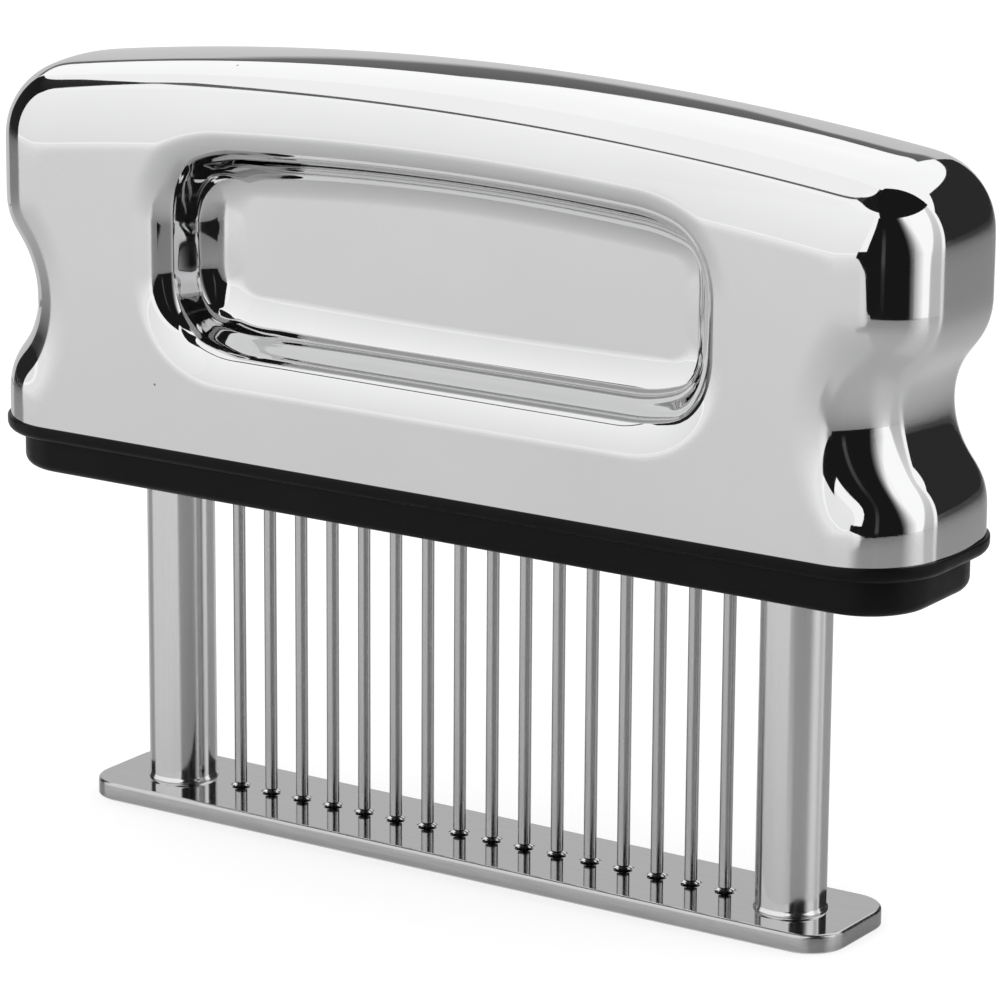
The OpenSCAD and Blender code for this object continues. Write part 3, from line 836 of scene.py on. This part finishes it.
CHROME = chrome("chrome_plate", rough=(0.02, 0.05), wave=0.01 * MM, grain=(60, 60, 60), pit_r=0.22 * MM)
POST_CHROME = chrome("satin_post_chrome", rough=(0.1, 0.2), wave=0.003 * MM, grain=(1500, 1500, 40))
PLATE_STEEL = steel("polished_plate_steel", (0.54, 0.54, 0.544), (0.585, 0.585, 0.589),
                    rough=(0.05, 0.1), grain=(150, 6000, 6000), depth=0.0004 * MM)
PLATE_EDGE_STEEL = steel("satin_plate_edge", (0.49, 0.49, 0.494), (0.545, 0.545, 0.549),
                         rough=(0.16, 0.26), grain=(150, 2500, 2500), depth=0.0003 * MM)
# Painted shade: near-black steel for the walls of the plate's needle holes, standing for the shade inside
# them
BORE_PAINTED_SHADE = steel("bore_painted_shade", (0.04, 0.04, 0.0415), (0.09, 0.09, 0.0915),
                   rough=(0.35, 0.5), grain=(2000, 2000, 2000), depth=0.001 * MM)
NEEDLE_STEEL = steel("satin_needle_steel", (0.47, 0.47, 0.474), (0.53, 0.53, 0.534),
                     rough=(0.18, 0.28), grain=(5000, 5000, 120), depth=0.0008 * MM)
# Painted shade: near-black steel on the needles' points and necks, standing for the shade and dark
# reflections there
POINT_PAINTED_SHADE = steel("ground_point_steel", (0.08, 0.08, 0.081), (0.12, 0.12, 0.122),
                    rough=(0.25, 0.35), grain=(5000, 5000, 900), depth=0.001 * MM)
ZINC_STEEL = steel("zinc_steel", (0.36, 0.37, 0.385), (0.46, 0.47, 0.485),
                   rough=(0.25, 0.45), grain=(1500, 1500, 1500), depth=0.004 * MM)
SPRING_STEEL = steel("spring_wire", (0.26, 0.26, 0.268), (0.36, 0.36, 0.368),
                     rough=(0.25, 0.4), grain=(2500, 2500, 2500), depth=0.002 * MM)
PLASTIC = plastic()
FINISH = {
    "chrome": CHROME,
    "plate_steel": PLATE_STEEL,
    "needle_steel": NEEDLE_STEEL,
    "zinc_steel": ZINC_STEEL,
    "spring_steel": SPRING_STEEL,
    "black_plastic": PLASTIC,
}
SLOT_OF = {part["node"]: part["material_slot"] for part in frame["record"]["subparts"]}


# Pieces

SHARP_TURN = math.radians(35)
# Upward part of a face's normal: above LEVEL the face is level, below EDGE_TILT it is on the plate's edge,
# and below BORE_TILT inside a bore
LEVEL = 0.9999
EDGE_TILT = 0.97
BORE_TILT = 0.4
HOLE_REACH = HOLE_R + 1.02 * HOLE_LIP
# Height below which a needle's point and neck are painted near-black, as painted shade
POINT_SHADE_TOP = PLATE_HI.z + 0.95 * NEEDLE_SHOULDER


def add_object(name, points, faces, finish):
    mesh = bpy.data.meshes.new(name)
    mesh.from_pydata([tuple(p) for p in points], [], faces)
    mesh.polygons.foreach_set("use_smooth", [True] * len(mesh.polygons))
    mesh.set_sharp_from_angle(angle=SHARP_TURN)
    mesh.materials.append(finish)
    made = bpy.data.objects.new(name, mesh)
    bpy.context.scene.collection.objects.link(made)
    return made


def keep_flats(mesh):
    """Sharp edges round the level faces, so that rounded edges don't shade them."""
    level = [abs(f.normal.z) > LEVEL for f in mesh.polygons]
    sides = {}
    for f in mesh.polygons:
        for key in f.edge_keys:
            sides.setdefault(key, []).append(level[f.index])
    for edge in mesh.edges:
        if len(set(sides[edge.key])) > 1:
            edge.use_edge_sharp = True


def second_finish(obj, finish, where):
    """Another finish on the faces for which where(centre, normal) holds."""
    obj.data.materials.append(finish)
    index = len(obj.data.materials) - 1
    for f in obj.data.polygons:
        if where(f.center, f.normal):
            f.material_index = index


def piece(name, points, faces, body, cad_node):
    """A new piece that stands for a CAD node."""
    made = add_object(name, points, faces, FINISH[SLOT_OF[cad_node]])
    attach(made, body)
    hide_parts(cad_node)
    return made


def near_hole(point):
    """Whether a point lies in one of the plate's needle holes."""
    return any(math.hypot(point.x - x, point.y) < HOLE_REACH for x in NEEDLES_X)


for cad_node, obj in frame["nodes"].items():
    for slot in obj.material_slots:
        slot.material = POST_CHROME if cad_node.endswith("guide_post") else FINISH[SLOT_OF[cad_node]]

piece("chrome_handle", *handle_mesh(), "handle", "handle_shell")
base = piece("black_base", *base_mesh(), "handle", "base_body")
keep_flats(base.data)
plate = piece("foot_strip", *plate_mesh(), "foot", "foot_plate")
keep_flats(plate.data)
second_finish(plate, PLATE_EDGE_STEEL, lambda c, n: abs(n.z) < EDGE_TILT and not near_hole(c))
# The walls of the needle holes get the near-black steel as painted shade
second_finish(plate, BORE_PAINTED_SHADE, lambda c, n: abs(n.z) < BORE_TILT and near_hole(c))
for cad_node in NEEDLES:
    needle = piece(f"round_{cad_node}", *needle_mesh(cad_node), "handle", cad_node)
    # The needle's point and neck get the near-black steel as painted shade
    second_finish(needle, POINT_PAINTED_SHADE, lambda c, n: c.z < POINT_SHADE_TOP)
for side in ("left", "right"):
    cad_node = f"{side}_guide_post"
    post = piece(f"{side}_post", *post_mesh(middle_x(cad_node)), "foot", cad_node)
    post.data.materials[0] = POST_CHROME
for side in ("left", "right"):
    cad_node = f"{side}_spring"
    coil = piece(f"{side}_coil", *spring_mesh(cad_node), "foot", cad_node)
    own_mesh(coil)


# Studio

def sky_point(az, el, radius, centre):
    """Point in the direction of an azimuth from the front towards +X and an elevation, in degrees."""
    az, el = math.radians(az), math.radians(el)
    way = Vector((math.sin(az) * math.cos(el), -math.cos(az) * math.cos(el), math.sin(el)))
    return centre + radius * way


def math_node(tree, operation, first, second):
    made = node(tree, "ShaderNodeMath", operation=operation)
    for socket, value in zip(made.inputs, (first, second)):
        if isinstance(value, (int, float)):
            socket.default_value = value
        else:
            tree.links.new(value, socket)
    return made.outputs[0]


def bare_material(name):
    """A new node material without a shader, its tree and its output."""
    made = bpy.data.materials.new(name)
    made.use_nodes = True
    tree = made.node_tree
    tree.nodes.clear()
    return made, tree, node(tree, "ShaderNodeOutputMaterial")


def card_fade(tree, place, soft):
    """How much of the card there is, or None where it has no soft side."""
    edges = []
    for axis, widths in zip("XY", soft):
        if widths[0] > 0:
            edges.append(ramp(tree, place.outputs[axis], 0, 1, 0, widths[0]))
        if widths[1] > 0:
            edges.append(ramp(tree, place.outputs[axis], 0, 1, 1, 1 - widths[1]))
    fade = edges[0] if edges else None
    for edge in edges[1:]:
        fade = math_node(tree, "MULTIPLY", fade, edge)
    return fade


def card_material(name, levels, soft):
    """Light from the card: levels at its lower and upper edge, fading out over a share soft of each side."""
    made, tree, out = bare_material(name)
    made.cycles.emission_sampling = "NONE"
    place = node(tree, "ShaderNodeSeparateXYZ")
    uv = node(tree, "ShaderNodeUVMap")
    tree.links.new(uv.outputs[0], place.inputs[0])
    glow = node(tree, "ShaderNodeEmission")
    low, high = (CARD_LIGHT * level for level in levels)
    tree.links.new(ramp(tree, place.outputs["Y"], low, high, 0, 1), glow.inputs["Strength"])
    clear = node(tree, "ShaderNodeBsdfTransparent")
    mix = node(tree, "ShaderNodeMixShader")
    fade = card_fade(tree, place, soft)
    if fade is None:
        mix.inputs[0].default_value = 1
    else:
        tree.links.new(fade, mix.inputs[0])
    tree.links.new(clear.outputs[0], mix.inputs[1])
    tree.links.new(glow.outputs[0], mix.inputs[2])
    tree.links.new(mix.outputs[0], out.inputs[0])
    return made


def card(name, corners, levels, radius=CARD_R, centre=CARD_CENTRE, soft=((0, 0), (0, 0)), flag=False):
    """A curved card. corners are (azimuth, elevation) at its lower left, lower right, upper right and upper
    left, soft is (left, right) and (lower, upper). A flag shows in reflections only and casts no shadow."""
    n = CARD_N
    points, uvs, faces = [], [], []
    a, b, c, d = (np.array(p, float) for p in corners)
    for j in range(n + 1):
        for i in range(n + 1):
            u, v = i / n, j / n
            az, el = (a * (1 - u) + b * u) * (1 - v) + (d * (1 - u) + c * u) * v
            points.append(sky_point(az, el, radius, centre))
            uvs.append((u, v))
    for j in range(n):
        for i in range(n):
            k = j * (n + 1) + i
            faces.append((k, k + 1, k + n + 2, k + n + 1))
    made = add_object(name, points, faces, card_material(name, levels, soft))
    layer = made.data.uv_layers.new(name="UVMap")
    for loop in made.data.loops:
        layer.data[loop.index].uv = uvs[loop.vertex_index]
    made.visible_camera = False
    made.visible_diffuse = not flag
    made.visible_shadow = not flag


def card_row(name, foot, top, levels, **place):
    """Cards side by side between a lower and an upper line of corners, each with its levels."""
    for k, pair in enumerate(levels):
        card(f"{name}_{k + 1}", [foot[k], foot[k + 1], top[k + 1], top[k]], pair, **place)


def light_path(tree, low, high):
    """high for camera, glossy and transmission rays, low for the others."""
    path = node(tree, "ShaderNodeLightPath")
    seen = math_node(tree, "MAXIMUM", path.outputs["Is Camera Ray"], path.outputs["Is Glossy Ray"])
    seen = math_node(tree, "MAXIMUM", seen, path.outputs["Is Transmission Ray"])
    return ramp(tree, seen, low, high, 0, 1)


def add_world():
    world = bpy.data.worlds.new("studio")
    bpy.context.scene.world = world
    world.use_nodes = True
    tree = world.node_tree
    back = tree.nodes["Background"]
    back.inputs["Color"].default_value = (1, 1, 1, 1)
    tree.links.new(light_path(tree, WORLD_LIGHT, WORLD_GLOW), back.inputs["Strength"])


def floor_finish():
    """Pale matt floor with a faint unevenness of tone."""
    made, tree, shader = material("pale_floor")
    tone = ramp(tree, noise(tree, scale=6), 0, 1)
    tree.links.new(blend_colour(tree, tone, FLOOR_DARK, FLOOR_LIGHT), shader.inputs["Base Color"])
    shader.inputs["Roughness"].default_value = FLOOR_ROUGH
    shader.inputs["Specular IOR Level"].default_value = 0.0
    shader.inputs["Emission Color"].default_value = (1, 1, 1, 1)
    tree.links.new(light_path(tree, 0.0, FLOOR_GLOW), shader.inputs["Emission Strength"])
    return made


def table_gloss():
    """The table top as metal sees it: pale, and shinier the flatter the look."""
    made, tree, out = bare_material("table_gloss")
    pale = node(tree, "ShaderNodeBsdfDiffuse")
    pale.inputs["Color"].default_value = (TABLE_TONE, TABLE_TONE, TABLE_TONE, 1)
    shine = node(tree, "ShaderNodeBsdfAnisotropic", Roughness=TABLE_ROUGH)
    shine.inputs["Color"].default_value = (1, 1, 1, 1)
    fresnel = node(tree, "ShaderNodeFresnel", IOR=TABLE_IOR)
    share = math_node(tree, "MULTIPLY", fresnel.outputs[0], TABLE_SHINE)
    mix = node(tree, "ShaderNodeMixShader")
    tree.links.new(share, mix.inputs[0])
    tree.links.new(pale.outputs[0], mix.inputs[1])
    tree.links.new(shine.outputs[0], mix.inputs[2])
    tree.links.new(mix.outputs[0], out.inputs[0])
    return made


def disc(name, z, finish):
    """A round sheet as large as the floor, at a height."""
    points = [sky_point(360 * i / FLOOR_N, 0, FLOOR_R, Vector((0, 0, z))) for i in range(FLOOR_N)]
    made = add_object(name, points, [tuple(range(FLOOR_N))], finish)
    return made


def add_floor():
    disc("floor", 0, floor_finish())
    sheet = disc("table_gloss", TABLE_LIFT, table_gloss())
    sheet.visible_camera = False
    sheet.visible_diffuse = False
    sheet.visible_shadow = False


def add_panels():
    """Bright panels: overhead, in front, and close beside the right end."""
    card("overhead_back", [(125, 28), (250, 28), (250, 90), (125, 90)], (1.28, 1.25),
         soft=((0, 0), (0.03, 0)))
    card("overhead_left", [(250, 33), (267, 48), (267, 90), (250, 90)], (1.2, 1.2))
    card("overhead_front", [(267, 48.5), (330, 64), (330, 90), (267, 90)], (1.2, 1.2))
    card("overhead_right", [(-30, 58), (125, 40), (125, 90), (-30, 90)], (1.25, 1.25))
    card("front_panel_left", [(-78, -1), (-30, -1), (-30, 60), (-80, 47)], (1.04, 1.2))
    card("front_panel_right", [(-30, -1), (12, -1), (30, 56), (-30, 60)], (1.07, 1.22))
    near = {"radius": NEAR_R, "centre": NEAR_CENTRE}
    foot = NEAR_FOOT
    card("right_panel", [(82, foot), (104, foot), (118, 43), (82, 43)], (1.32, 1.32), **near)
    card("right_wall", [(104, foot), (126, foot), (126, 43), (118, 43)], (0.62, 0.95),
         soft=((0.15, 0.15), (0, 0)), **near)


def add_camera_flags():
    """Dark flags round the camera, close to the right end, and the dark room further off."""
    near = {"radius": NEAR_FLAG_R, "centre": NEAR_CENTRE, "flag": True}
    foot = NEAR_FOOT
    soft_right = ((0, 0.3), (0, 0))
    card("camera_flag_foot", [(27, foot), (96, foot), (96, -5), (21, -5)], BLACK, soft=soft_right, **near)
    card("camera_flag", [(21, -5), (96, -5), (72, 46), (35, 46)], BLACK, soft=soft_right, **near)
    card("camera_flag_low", [(24, -12.5), (33, -12.5), (33, -5), (7, -5)], BLACK, **near)
    card("camera_flag_edge", [(7, -5), (33, -5), (33, 2), (9, 2)], BLACK, **near)
    card("room_flag", [(21, -2.2), (86, -2.2), (74, 46), (35, 46)], BLACK, ROOM_FLAG_R,
         soft=soft_right, flag=True)
    card("camera_flag_top", [(35, 45), (129, 38), (128, 85), (20, 90)], BLACK, **near)
    card("camera_stand", [(38, -12), (44, -12), (44, 34), (38, 34)], (0.09, 0.04), STAND_R, NEAR_CENTRE,
         soft=((0.3, 0.3), (0.1, 0.4)), flag=True)


def add_far_flags():
    """Dark gap between the front and overhead panels, and dark flags on the left and behind."""
    far = {"radius": FAR_FLAG_R, "flag": True}
    slit_foot = [(-92, 46), (-55, 56.7), (-30, 66.5), (-12, 65), (15, 58.5), (50, 50)]
    slit_top = [(-92, 48), (-55, 59.3), (-30, 71), (-12, 75), (15, 82), (50, 89)]
    slit_levels = [(level, level) for level in (0.15, 0.15, 0.05, 0.015, 0.015)]
    card_row("slit", slit_foot, slit_top, slit_levels, **far)
    card("left_flag", [(-122, -3), (-76, -3), (-81, 40), (-114, 30)], (0.025, 0.015), **far)
    card("left_flag_top", [(-114, 30), (-81, 40), (-90, 47), (-100, 43)], (0.015, 0.04), **far)
    card("back_flag_right", [(131, -3), (150, -3), (150, 36), (131, 26)], (0.03, 0.03), **far)
    card("back_flag", [(150, -3), (192, -3), (192, 24), (150, 36)], (0.03, 0.03), **far)


def add_back_wall():
    """Grey wall close behind, and a darker upper part that hangs lower in its middle."""
    wall = {"radius": BACK_R, "centre": BACK_CENTRE, "flag": True}
    low, high, right_high = -14, 22.5, 31
    grey = (0.63, 0.66)
    card("back_pale", [(199.5, low), (258, low), (248, high), (199.5, high)], grey, **wall)
    card("back_pale_right", [(184, low), (199.5, low), (199.5, high), (184, right_high)], grey, **wall)
    foot = [(184, 22), (199.5, 17.5), (203, 12), (211, 8), (219, 10.5), (229, 16.5), (248, 17)]
    top = [(184, right_high)] + [(az, high) for az, _ in foot[1:]]
    levels = [(0.2, 0.14)] * (len(foot) - 1)
    card_row("back_dark", foot, top, levels, radius=BACK_DARK_R, centre=BACK_CENTRE,
             soft=((0, 0), (0.3, 0)), flag=True)


def add_camera():
    right = Vector((math.cos(CAMERA_YAW), math.sin(CAMERA_YAW), 0))
    ahead = Vector((
        -math.sin(CAMERA_YAW) * math.cos(CAMERA_PITCH),
        math.cos(CAMERA_YAW) * math.cos(CAMERA_PITCH),
        -math.sin(CAMERA_PITCH),
    ))
    down = ahead.cross(right)
    c, s = math.cos(CAMERA_ROLL), math.sin(CAMERA_ROLL)
    right, down = c * right + s * down, c * down - s * right
    turn = Matrix((right, -down, -ahead)).transposed().to_4x4()
    data = bpy.data.cameras.new("camera")
    data.sensor_width = SENSOR
    data.lens = SENSOR * FOCAL_SHARE
    data.clip_start = 0.01
    camera = bpy.data.objects.new("camera", data)
    camera.matrix_world = Matrix.Translation(CAMERA_TARGET - CAMERA_DISTANCE * ahead) @ turn
    bpy.context.scene.collection.objects.link(camera)
    bpy.context.scene.camera = camera


add_world()
add_floor()
add_panels()
add_camera_flags()
add_far_flags()
add_back_wall()
add_camera()
bpy.context.scene.view_settings.view_transform = "Standard"
